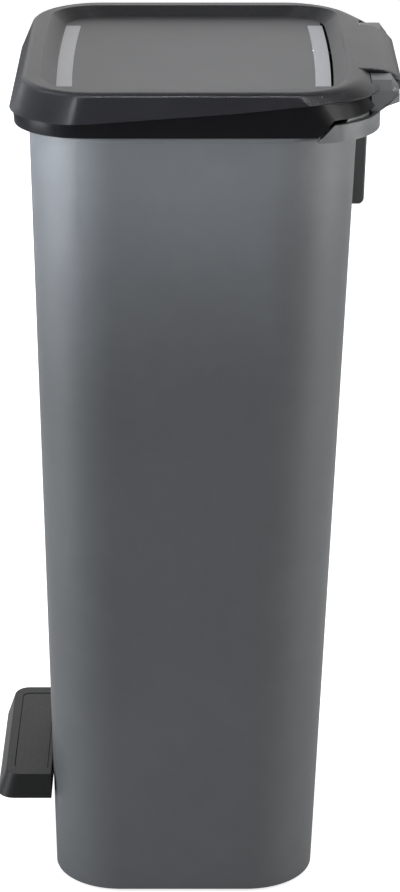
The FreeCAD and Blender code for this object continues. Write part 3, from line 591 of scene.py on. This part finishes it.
for low_x, high_x in ((40, 75), (-75, -40)):
    cut(lid_cover, rod_across("pin_bore", 2.55, low_x, high_x, HINGE_Y, HINGE_Z))
print("lid with tongue", [round(value / MM, 1) for value in lid_cover.dimensions])

# %% [markdown]
# ## The two painted reflection strips
# A pale strip is let into each end of the tray's panel, as a painted reflection of the soft lights
# there.  The seat and the strip are the same bowed shape, so the strip follows the end of the tray, and
# it stands out only by its painted colour.

# %% Seats and strips
STRIP_HALF, STRIP_DEEP, STRIP_GAP = 95.0, 1.0, 0.03


def strip(name, half, front, rear, low, high):
    """A flat band across an end of the tray, bowed like the tray."""
    piece = block(name, (-half, front, low), (half, rear, high))
    bow(piece)
    return piece


reflection_strips = []
# Each strip is a painted reflection: its pale grey stands for soft lights mirrored in the tray's ends.
for name, front, rear in (("front_reflection_strip", -101.2, -89.5), ("rear_reflection_strip", 92.0, 103.7)):
    seat_floor = PANEL_LEVEL - STRIP_DEEP
    cut(lid_cover, strip("seat", STRIP_HALF + STRIP_GAP, front - STRIP_GAP, rear + STRIP_GAP, seat_floor,
                         PANEL_LEVEL + 3))
    reflection_strip = strip(name, STRIP_HALF, front, rear, seat_floor, PANEL_LEVEL + 0.15)
    round_edges(reflection_strip, 0.25, segments=2)
    smooth(reflection_strip)
    reflection_strips.append(reflection_strip)
front_reflection_strip, rear_reflection_strip = reflection_strips
smooth(lid_cover)
print("reflection_strips", [round(value / MM, 1) for value in front_reflection_strip.dimensions])

# %% [markdown]
# ## The lid frame
# Under the cover sits a smooth black frame.  Its band shows below the rising edge of the cover,
# its rib presses on the bag ring, and it makes room for the collar, the lugs and the rod.

# %% Frame band and ledge
FRAME_LOW, FRAME_TOP = 641.0, 673.0
FRAME_IN = 2.6
band_foot = inside(SKIRT, FRAME_IN + 0.8)
band_bend = inside(SKIRT, FRAME_IN)
frame_rim = inside(beyond(SKIRT, RIM, (FRAME_TOP - CREASE_LOW) / (LID_TOP - CREASE_LOW)), FRAME_IN)
ledge = (134.2, -116.5, 119.5)

lid_frame = rounded_block("lid_under_frame", FRAME_LOW, CREASE_LOW, band_foot, band_bend, 54.0, 24)
edit(lid_frame)
choose_faces(lid_frame, lambda centre, normal: normal.z > 0.9)
extrude(z=FRAME_TOP - CREASE_LOW)
refit(band_bend, frame_rim, FRAME_TOP)
done()
cut(lid_frame, prism("frame_trim", -160, 160, (
    (82.5, 631), (165, 631), (165, 655), (105, 653.5))))
edit(lid_frame)
choose_faces(lid_frame, lambda centre, normal: normal.z > 0.9)
bpy.ops.mesh.inset(thickness=1 * MM)
refit(inside(frame_rim, 1), ledge, FRAME_TOP)
bpy.ops.mesh.delete(type="FACE")
done()
remove_faces(lid_frame, lambda centre, normal: normal.z < -0.5)
wall(lid_frame, 2.2)
round_edges(lid_frame, 0.6, segments=2, angle=40)
print("frame", [round(value / MM, 1) for value in lid_frame.dimensions])

# %% Rib, and room for the lugs and the rod
RIB = (135.8, -118.5, 115.5)
rib_ring = rounded_block("rib_ring", 644, FRAME_TOP - 1.5, RIB, RIB, 46.0)
thinner = inside(RIB, 2.0)
cut(rib_ring, rounded_block("rib_hollow", 630, 690, thinner, thinner, 44.0))
weld(lid_frame, rib_ring)
for low_x, high_x in ((TONGUE_HALF, LUG_OUTER + 1), (-LUG_OUTER - 1, -TONGUE_HALF)):
    for piece in (lid_frame, lid_cover):
        cut(piece, rod_across("lug_room", 17.5, low_x, high_x, HINGE_Y, HINGE_Z))
        cut(piece, block("lug_step", (low_x, 133.2, 655), (high_x, 165, 690)))
cut(lid_frame, block("rod_notch", (-10.5, 110, 636), (10.5, 160, 680)))
smooth(lid_frame)
smooth(lid_cover)
print("frame with rib", len(lid_frame.data.polygons), "faces")

# %% [markdown]
# ## The pedal
# The pedal is a hollow cap with sloping sides and a raised border round a flat mat.  A seat is
# cut for the mat, which leaves a crisp line round it like the moulded one.

# %% Pedal cap and mat
PEDAL_LOW, PEDAL_TOP, PEDAL_WALL = 67.5, 88.0, 3.0
PEDAL_FOOT = (85.0, -160.0, -115.5)
PEDAL_LIP = (82.0, -153.0, -115.5)
MAT_DEEP, BORDER, FRONT_BORDER = 1.2, 12.0, 7.0


def pedal_block(name, low, high, bottom, top, radius, segments=10):
    """Like a rounded block, but with only the two front corners rounded."""
    half, front, rear = bottom
    piece = block(name, (-half, front, low), (half, rear, high))
    edit(piece, "EDGE")
    choose_edges(piece, lambda a, b: abs(a.z - b.z) > (high - low) / 2 and a.y < rear - 1)
    bpy.ops.mesh.bevel(offset=radius * MM, segments=segments, affect="EDGES")
    bpy.ops.mesh.select_mode(type="FACE")
    choose_faces(piece, lambda centre, normal: normal.z > 0.9)
    refit(bottom, top, high)
    done()
    return piece


pedal = pedal_block("foot_pedal", PEDAL_LOW, PEDAL_TOP, PEDAL_FOOT, PEDAL_LIP, 14.0, 14)
edit(pedal)
choose_faces(pedal, lambda centre, normal: normal.z < -0.9)
bpy.ops.mesh.inset(thickness=PEDAL_WALL * MM)
extrude(z=PEDAL_TOP - PEDAL_WALL - PEDAL_LOW)
refit(inside(PEDAL_FOOT, PEDAL_WALL), inside(PEDAL_LIP, PEDAL_WALL), PEDAL_TOP - PEDAL_WALL)
done()
mat_seat = (PEDAL_LIP[0] - BORDER, PEDAL_LIP[1] + FRONT_BORDER, PEDAL_LIP[2] - 3.5)
cut(pedal, pedal_block("mat_seat", PEDAL_TOP - MAT_DEEP, PEDAL_TOP + 5, mat_seat, mat_seat, 6.0))
round_edges(pedal, 0.9, segments=3, angle=40)
cut(pedal, block("lever_notch", (-16.5, -124, 65), (16.5, -107, PEDAL_TOP - PEDAL_WALL)))
smooth(pedal)
mat_line = inside(mat_seat, 0.2)
pedal_mat = pedal_block("pedal_mat", PEDAL_TOP - MAT_DEEP, PEDAL_TOP - 0.4, mat_line, mat_line, 5.8)
round_edges(pedal_mat, 0.4)
smooth(pedal_mat)
print("pedal", [round(value / MM, 1) for value in pedal.dimensions])

# %% [markdown]
# ## Hinge pins
# One short pin runs from each lug into its barrel.

# %% Hinge pins
hinge_pins = []
for name, low_x, high_x in (("hinge_pin_right", 50, 93), ("hinge_pin_left", -93, -50)):
    pin = rod_across(name, 2.45, low_x, high_x, HINGE_Y, HINGE_Z)
    round_edges(pin, 0.4, segments=2, angle=40)
    smooth(pin)
    hinge_pins.append(pin)
print("pins", [round(value / MM, 1) for value in pin.dimensions])

# %% [markdown]
# ## Bodies and slots
# Each new piece rides on the CAD body that it belongs to and stands for its CAD node.  The table
# also lists that node's material slot, which this loop doesn't use.

# %% Put the pieces in place of their nodes
PIECES = (
    (tub, "bin_body", "tub", "tub_grey"),
    (bag_ring, "bin_body", "bag_ring", "inner_black"),
    (collar, "bin_body", "hinge_collar", "tub_grey"),
    (rod_cover, "bin_body", "rod_cover", "tub_grey"),
    (lid_cover, "lid", "lid_cover", "lid_black"),
    (lid_frame, "lid", "lid_frame", "lid_black"),
    # The two strips carry the painted reflection at the ends of the tray.
    (front_reflection_strip, "lid", "inlay_front", "inlay_grey"),
    (rear_reflection_strip, "lid", "inlay_rear", "inlay_grey"),
    (pedal, "pedal", "pedal_plate", "pedal_black"),
    (pedal_mat, "pedal", "pedal_tread", "pedal_black"),
    (hinge_pins[0], "bin_body", "hinge_pin_right", "steel"),
    (hinge_pins[1], "bin_body", "hinge_pin_left", "steel"),
)

for piece, body, node, slot in PIECES:
    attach(piece, body)
    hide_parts(node)
kept_nodes = [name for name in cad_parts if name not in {row[2] for row in PIECES}]
print(len(PIECES), "new pieces,", len(kept_nodes), "CAD nodes kept")

# %% [markdown]
# ## Shared surface effects
# Moulded plastic is never one flat colour.  It has a fine grain from the mould, slow drifts in
# tone, paler worn edges, and a little dust on what faces up.  Each effect is one shader group
# with its own sliders, built once and used in every finish.

# %% A helper for shader groups
def new_group(name, inputs, outputs):
    """An empty shader group with number inputs and outputs."""
    group = bpy.data.node_groups.new(name, "ShaderNodeTree")
    for label, default in inputs:
        socket = group.interface.new_socket(label, in_out="INPUT", socket_type="NodeSocketFloat")
        socket.default_value = default
    for label in outputs:
        group.interface.new_socket(label, in_out="OUTPUT", socket_type="NodeSocketFloat")
    return group, group.nodes.new("NodeGroupInput"), group.nodes.new("NodeGroupOutput")


def math_node(tree, operation, first, second=0.0, third=0.0, clamp=False):
    """A math node whose inputs are sockets or plain numbers."""
    node = tree.nodes.new("ShaderNodeMath")
    node.operation = operation
    node.use_clamp = clamp
    for index, value in enumerate((first, second, third)):
        if isinstance(value, (int, float)):
            node.inputs[index].default_value = value
        else:
            tree.links.new(value, node.inputs[index])
    return node.outputs[0]


def noise_node(tree, place, scale, detail=3.0):
    """A noise texture.  scale is a number or a socket."""
    node = tree.nodes.new("ShaderNodeTexNoise")
    node.inputs["Detail"].default_value = detail
    tree.links.new(place, node.inputs["Vector"])
    if isinstance(scale, (int, float)):
        node.inputs["Scale"].default_value = scale
    else:
        tree.links.new(scale, node.inputs["Scale"])
    return node.outputs["Fac"]


def fade(tree, value, low, high):
    """0 below low, 1 above high, and a soft step between."""
    node = tree.nodes.new("ShaderNodeMapRange")
    node.interpolation_type = "SMOOTHSTEP"
    node.inputs["From Min"].default_value = low
    node.inputs["From Max"].default_value = high
    tree.links.new(value, node.inputs["Value"])
    return node.outputs["Result"]


print("group helpers ready")

# %% Mould grain and tone
grain, grain_in, grain_out = new_group("mould_grain", [("Cells per metre", 900.0)],
                                       ["Height", "Tone"])
place = grain.nodes.new("ShaderNodeTexCoord").outputs["Object"]
fine = noise_node(grain, place, grain_in.outputs[0], 2.0)
pits = grain.nodes.new("ShaderNodeTexVoronoi")
pits.feature = "SMOOTH_F1"
pits.inputs["Smoothness"].default_value = 0.6
grain.links.new(place, pits.inputs["Vector"])
grain.links.new(grain_in.outputs[0], pits.inputs["Scale"])
grain.links.new(math_node(grain, "MULTIPLY_ADD", pits.outputs["Distance"], 0.6, fine),
                grain_out.inputs["Height"])
slow = noise_node(grain, place, 7.0, 2.0)
cloud = noise_node(grain, place, 55.0, 3.0)
grain.links.new(math_node(grain, "MULTIPLY_ADD", cloud, 0.35, math_node(grain, "MULTIPLY", slow, 0.65)),
                grain_out.inputs["Tone"])
print("mould grain")

# %% Worn edges
wear, wear_in, wear_out = new_group("edge_wear", [("Reach", 0.0012)], ["Mask"])
soft = wear.nodes.new("ShaderNodeBevel")
soft.samples = 4
wear.links.new(wear_in.outputs[0], soft.inputs["Radius"])
straight = wear.nodes.new("ShaderNodeNewGeometry").outputs["Normal"]
meet = wear.nodes.new("ShaderNodeVectorMath")
meet.operation = "DOT_PRODUCT"
wear.links.new(soft.outputs["Normal"], meet.inputs[0])
wear.links.new(straight, meet.inputs[1])
turn = math_node(wear, "SUBTRACT", 1.0, meet.outputs["Value"])
place = wear.nodes.new("ShaderNodeTexCoord").outputs["Object"]
patchy = fade(wear, noise_node(wear, place, 130.0, 4.0), 0.35, 0.7)
wear.links.new(math_node(wear, "MULTIPLY", fade(wear, turn, 0.01, 0.2), patchy, clamp=True),
               wear_out.inputs["Mask"])
print("edge wear")

# %% Dust and scuffs
dust, dust_in, dust_out = new_group("dust_and_scuffs", [("Dust", 0.5), ("Scuffs", 0.5)],
                                    ["Dust", "Scuffs"])
coordinates = dust.nodes.new("ShaderNodeTexCoord")
parts = dust.nodes.new("ShaderNodeSeparateXYZ")
dust.links.new(coordinates.outputs["Normal"], parts.inputs[0])
upward = fade(dust, parts.outputs["Z"], 0.5, 1.0)
speckle = fade(dust, noise_node(dust, coordinates.outputs["Object"], 420.0, 5.0), 0.45, 0.8)
drift = noise_node(dust, coordinates.outputs["Object"], 9.0, 2.0)
dusty = math_node(dust, "MULTIPLY", math_node(dust, "MULTIPLY", upward, speckle), drift)
dust.links.new(math_node(dust, "MULTIPLY", dusty, dust_in.outputs["Dust"]), dust_out.inputs["Dust"])
stretch = dust.nodes.new("ShaderNodeMapping")
stretch.inputs["Scale"].default_value = (26.0, 40.0, 5.0)
stretch.inputs["Rotation"].default_value = (0.2, 0.35, 0.1)
dust.links.new(coordinates.outputs["Object"], stretch.inputs["Vector"])
streaks = fade(dust, noise_node(dust, stretch.outputs["Vector"], 6.0, 6.0), 0.62, 0.75)
dust.links.new(math_node(dust, "MULTIPLY", streaks, dust_in.outputs["Scuffs"]),
               dust_out.inputs["Scuffs"])
print("dust and scuffs")

# %% [markdown]
# The sloping skirt of the lid has a fine diagonal cross-hatch, cut into the mould.  Two sets of
# diagonal waves cross on every upright side.  A mask keeps them off the top and out of the tray,
# by how steeply the surface stands.

# %% Cross-hatch for the lid's skirt
hatch, hatch_in, hatch_out = new_group("cross_hatch", [("Lines per metre", 850.0)],
                                       ["Height", "Mask"])
coordinates = hatch.nodes.new("ShaderNodeTexCoord")
waves = []
for way in ((1, 1, 1), (1, 1, -1)):
    along = hatch.nodes.new("ShaderNodeVectorMath")
    along.operation = "DOT_PRODUCT"
    along.inputs[1].default_value = way
    hatch.links.new(coordinates.outputs["Object"], along.inputs[0])
    turns = math_node(hatch, "MULTIPLY", along.outputs["Value"], hatch_in.outputs[0])
    waves.append(math_node(hatch, "SINE", math_node(hatch, "MULTIPLY", turns, 2 * math.pi)))
parts = hatch.nodes.new("ShaderNodeSeparateXYZ")
hatch.links.new(coordinates.outputs["Normal"], parts.inputs[0])
flat = fade(hatch, parts.outputs["Z"], 0.33, 0.5)
upright = math_node(hatch, "MULTIPLY", math_node(hatch, "SUBTRACT", 1.0, flat),
                    fade(hatch, parts.outputs["Z"], 0.05, 0.15))
hatch.links.new(math_node(hatch, "MULTIPLY", math_node(hatch, "ADD", *waves), upright),
                hatch_out.inputs["Height"])
hatch.links.new(upright, hatch_out.inputs["Mask"])
print("cross-hatch")

# %% [markdown]
# ## Finishes
# One function mixes the groups into a finish.  The Principled shader stays in each material,
# and each finish has its own colours, gloss, grain and wear.

# %% A finish from its sliders
def linear(shade):
    """A colour as it is seen, made linear for the shader."""
    return tuple((c / 12.92 if c <= 0.04045 else ((c + 0.055) / 1.055) ** 2.4) for c in shade) + (1,)


def mix_colour(tree, amount, first, second):
    node = tree.nodes.new("ShaderNodeMix")
    node.data_type = "RGBA"
    tree.links.new(amount, node.inputs["Factor"])
    for label, value in ((6, first), (7, second)):
        if isinstance(value, tuple):
            node.inputs[label].default_value = value
        else:
            tree.links.new(value, node.inputs[label])
    return node.outputs[2]


def place_group(tree, group, **values):
    node = tree.nodes.new("ShaderNodeGroup")
    node.node_tree = group
    for label, value in values.items():
        node.inputs[label.replace("_", " ")].default_value = value
    return node


def finish(name, dark, pale, worn, gloss, cells=900.0, bump=0.05, reach=0.0012, dusty=0.4,
           scuffs=0.3, metal=0.0, specular=0.5, hatched=False, dusting=(0.62, 0.61, 0.59),
           wear_gain=0.6):
    """A material with grain, drifting tone, worn edges, dust and scuffs."""
    material = bpy.data.materials.new(name)
    material.use_nodes = True
    tree = material.node_tree
    shader = tree.nodes["Principled BSDF"]
    shader.inputs["Specular IOR Level"].default_value = specular
    shader.inputs["Metallic"].default_value = metal
    mould = place_group(tree, grain, Cells_per_metre=cells)
    edges = place_group(tree, wear, Reach=reach)
    marks = place_group(tree, dust, Dust=dusty, Scuffs=scuffs)
    tone = fade(tree, mould.outputs["Tone"], 0.35, 0.65)
    colour = mix_colour(tree, tone, linear(dark), linear(pale))
    worn_share = math_node(tree, "MULTIPLY", edges.outputs["Mask"], wear_gain)
    colour = mix_colour(tree, worn_share, colour, linear(worn))
    colour = mix_colour(tree, math_node(tree, "MULTIPLY", marks.outputs["Dust"], 0.5), colour,
                        linear(dusting))
    tree.links.new(colour, shader.inputs["Base Color"])
    rough = math_node(tree, "MULTIPLY_ADD", mould.outputs["Tone"], 0.12, gloss - 0.06)
    rough = math_node(tree, "MULTIPLY_ADD", marks.outputs["Dust"], 0.35, rough)
    rough = math_node(tree, "MULTIPLY_ADD", marks.outputs["Scuffs"], 0.12, rough)
    rough = math_node(tree, "MULTIPLY_ADD", edges.outputs["Mask"], -0.08, rough, clamp=True)
    height = math_node(tree, "MULTIPLY_ADD", marks.outputs["Scuffs"], -0.4,
                       mould.outputs["Height"])
    if hatched:
        lines = place_group(tree, hatch)
        height = math_node(tree, "MULTIPLY_ADD", lines.outputs["Height"], 2.2, height)
        rough = math_node(tree, "MULTIPLY_ADD", lines.outputs["Mask"], 0.03, rough)
    tree.links.new(rough, shader.inputs["Roughness"])
    bumps = tree.nodes.new("ShaderNodeBump")
    bumps.inputs["Strength"].default_value = bump
    bumps.inputs["Distance"].default_value = 0.0006
    tree.links.new(height, bumps.inputs["Height"])
    tree.links.new(bumps.outputs["Normal"], shader.inputs["Normal"])
    return material


FINISHES = {
    "tub_grey": finish("satin_grey_polypropylene", (0.345, 0.355, 0.365), (0.365, 0.375, 0.385),
                       (0.5, 0.51, 0.52), 0.46, cells=1400.0, bump=0.12, scuffs=0.25),
    "collar_grey": finish("smooth_grey_collar", (0.33, 0.34, 0.35), (0.35, 0.36, 0.37),
                          (0.5, 0.51, 0.52), 0.40, cells=1800.0, bump=0.08),
    # cover_tab_grey is the tub's grey made darker: painted shade on the rod cover.
    "cover_tab_grey": finish("tub_grey_painted_shade_tab", (0.25, 0.255, 0.26), (0.27, 0.275, 0.28),
                             (0.4, 0.4, 0.41), 0.45, cells=1400.0, bump=0.1),
    "lid_black": finish("hatched_black_lid", (0.085, 0.085, 0.10), (0.10, 0.10, 0.115),
                        (0.22, 0.22, 0.23), 0.36, cells=1500.0, bump=0.45, hatched=True,
                        specular=0.4),
    # panel_black: the tray's panel has its own gloss, and its paler base colour is a painted reflection
    # of the bright room on the lid's top.
    "panel_black": finish("black_panel_painted_sheen", (0.20, 0.20, 0.21), (0.22, 0.22, 0.23),
                          (0.28, 0.28, 0.29), 0.42, cells=1500.0, bump=0.08),
    "skirt_black": finish("smooth_black_skirt", (0.04, 0.04, 0.05), (0.055, 0.055, 0.065),
                          (0.14, 0.14, 0.15), 0.38, cells=1700.0, bump=0.06, specular=0.12),
    # inlay_grey is a painted reflection: the pale strips stand for soft lights mirrored in the tray's
    # ends.
    "inlay_grey": finish("pale_grey_painted_reflection", (0.62, 0.62, 0.635), (0.65, 0.65, 0.665),
                         (0.7, 0.7, 0.71), 0.42, cells=2200.0, bump=0.10),
    "pedal_black": finish("black_pedal_plastic", (0.09, 0.09, 0.095), (0.11, 0.11, 0.115),
                          (0.30, 0.30, 0.31), 0.42, cells=1300.0, bump=0.14, scuffs=0.8,
                          dusty=0.6, specular=0.3),
    "inner_black": finish("rough_black_moulding", (0.10, 0.10, 0.105), (0.13, 0.13, 0.135),
                          (0.28, 0.28, 0.29), 0.55, cells=1000.0, bump=0.2),
    "soft_rubber": finish("soft_black_rubber", (0.07, 0.07, 0.072), (0.10, 0.10, 0.102),
                          (0.2, 0.2, 0.2), 0.75, cells=800.0, bump=0.35, dusty=0.8),
    "steel": finish("brushed_plated_steel", (0.58, 0.59, 0.60), (0.68, 0.69, 0.70),
                    (0.85, 0.85, 0.86), 0.30, cells=2500.0, bump=0.12, metal=1.0, scuffs=0.9),
    "white_plastic": finish("milky_acetal", (0.82, 0.82, 0.79), (0.87, 0.87, 0.84),
                            (0.93, 0.93, 0.91), 0.38, cells=1600.0, bump=0.06),
}
print(len(FINISHES), "finishes")

# %% [markdown]
# New pieces are given their finish by name.  The CAD nodes that stay get theirs by slot, and a
# small live bevel softens their edges without touching their meshes.

# %% Dress every piece
# The rod cover takes the tub's grey made darker, as painted shade, and the strips take a pale grey, as
# painted reflection.
for piece, key in ((tub, "tub_grey"), (collar, "collar_grey"), (rod_cover, "cover_tab_grey"),
                   (bag_ring, "inner_black"), (lid_cover, "lid_black"),
                   (lid_frame, "skirt_black"), (front_reflection_strip, "inlay_grey"),
                   (rear_reflection_strip, "inlay_grey"), (pedal, "pedal_black"), (pedal_mat, "pedal_black"),
                   (hinge_pins[0], "steel"), (hinge_pins[1], "steel")):
    piece.data.materials.clear()
    piece.data.materials.append(FINISHES[key])

# The tray's panel gets the paler black, which paints the reflection on the lid's top into its colour.
lid_cover.data.materials.append(FINISHES["panel_black"])
edit(lid_cover)
lid_cover.active_material_index = 1
choose_faces(lid_cover, lambda centre, normal: normal.z > 0.9 and abs(centre.z - PANEL_LEVEL) < 1
             and abs(centre.x) < PANEL[0] + 2 and PANEL[1] - 4 < centre.y < PANEL[2] + 4)
bpy.ops.object.material_slot_assign()
done()

for name in kept_nodes:
    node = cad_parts[name]
    for place in node.material_slots:
        place.material = FINISHES[place.material.name.split(".")[0]]
    merge = node.modifiers.new("merge", "WELD")
    merge.merge_threshold = 0.01 * MM
    soften = node.modifiers.new("soften", "BEVEL")
    soften.width = 0.3 * MM
    soften.segments = 2
    soften.limit_method = "ANGLE"
    soften.angle_limit = math.radians(40)
print("dressed", len(kept_nodes), "kept nodes")

# %% [markdown]
# ## The studio
# The bin stands on a plain pale floor.  Tall soft panels at the front and the rear of the bin
# brighten its upright corners, a low panel behind it glances off the lid, and two narrow
# glints pick out the corners of the lid.  The side that faces the camera stays calm.

# %% Floor
deselect()
bpy.ops.mesh.primitive_plane_add(size=14)
floor = bpy.context.object
floor.name = "studio_floor"
paper = bpy.data.materials.new("pale_studio_paper")
paper.use_nodes = True
paper_shader = paper.node_tree.nodes["Principled BSDF"]
paper_shader.inputs["Roughness"].default_value = 0.9
paper_shader.inputs["Specular IOR Level"].default_value = 0.1
paper_place = paper.node_tree.nodes.new("ShaderNodeTexCoord").outputs["Object"]
fibres = noise_node(paper.node_tree, paper_place, 60.0, 4.0)
paper.node_tree.links.new(mix_colour(paper.node_tree, fibres, (0.88, 0.88, 0.88, 1),
                                     (0.92, 0.92, 0.92, 1)), paper_shader.inputs["Base Color"])
paper_ray = paper.node_tree.nodes.new("ShaderNodeLightPath").outputs["Is Camera Ray"]
paper.node_tree.links.new(math_node(paper.node_tree, "MULTIPLY", paper_ray, 0.75),
                          paper_shader.inputs["Emission Strength"])
paper_shader.inputs["Emission Color"].default_value = (1, 1, 1, 1)
floor.data.materials.append(paper)
print("floor", floor.dimensions.x, "m wide")

# %% Lights
def panel(name, place, aim, width, height, power, colour=(1, 1, 1), spread=180):
    """A soft rectangular light that the camera doesn't see."""
    data = bpy.data.lights.new(name, "AREA")
    data.shape = "RECTANGLE"
    data.size = width
    data.size_y = height
    data.energy = power
    data.color = colour
    data.spread = math.radians(spread)
    light = bpy.data.objects.new(name, data)
    light.location = place
    light.rotation_euler = (Vector(aim) - Vector(place)).to_track_quat("-Z", "Y").to_euler()
    light.visible_camera = False
    bpy.context.scene.collection.objects.link(light)


panel("corner_glint", (0.55, -1.25, 0.80), (0.11, -0.11, 0.665), 0.3, 0.2, 0.5,
      (0.88, 0.93, 1.0), 16)
panel("rear_glint", (0.75, 1.15, 0.78), (0.12, 0.10, 0.668), 0.3, 0.15, 0.12,
      (1.0, 0.97, 0.93), 14)
panel("front_panel", (0.45, -2.0, 0.9), (0, 0, 0.4), 1.0, 2.0, 40, (0.94, 0.97, 1.0))
panel("rear_panel", (0.4, 2.0, 0.9), (0, 0, 0.4), 1.0, 2.0, 30, (1.0, 0.985, 0.96))
panel("back_panel", (-2.6, 0, 1.5), (0, 0, 0.6), 4.0, 1.8, 26)
panel("top_panel", (-0.3, 0, 2.8), (0, 0, 0.3), 1.6, 1.6, 14)

world = bpy.data.worlds.new("studio")
bpy.context.scene.world = world
world.use_nodes = True
sky = world.node_tree
glow = sky.nodes["Background"]
glow.inputs["Color"].default_value = (0.9, 0.92, 0.95, 1)
glow.inputs["Strength"].default_value = 0.16
seen = sky.nodes.new("ShaderNodeBackground")
seen.inputs["Color"].default_value = (1, 1, 1, 1)
seen.inputs["Strength"].default_value = 1.0
choice = sky.nodes.new("ShaderNodeMixShader")
ray = sky.nodes.new("ShaderNodeLightPath")
sky.links.new(ray.outputs["Is Camera Ray"], choice.inputs["Fac"])
sky.links.new(glow.outputs["Background"], choice.inputs[1])
sky.links.new(seen.outputs["Background"], choice.inputs[2])
sky.links.new(choice.outputs["Shader"], sky.nodes["World Output"].inputs["Surface"])
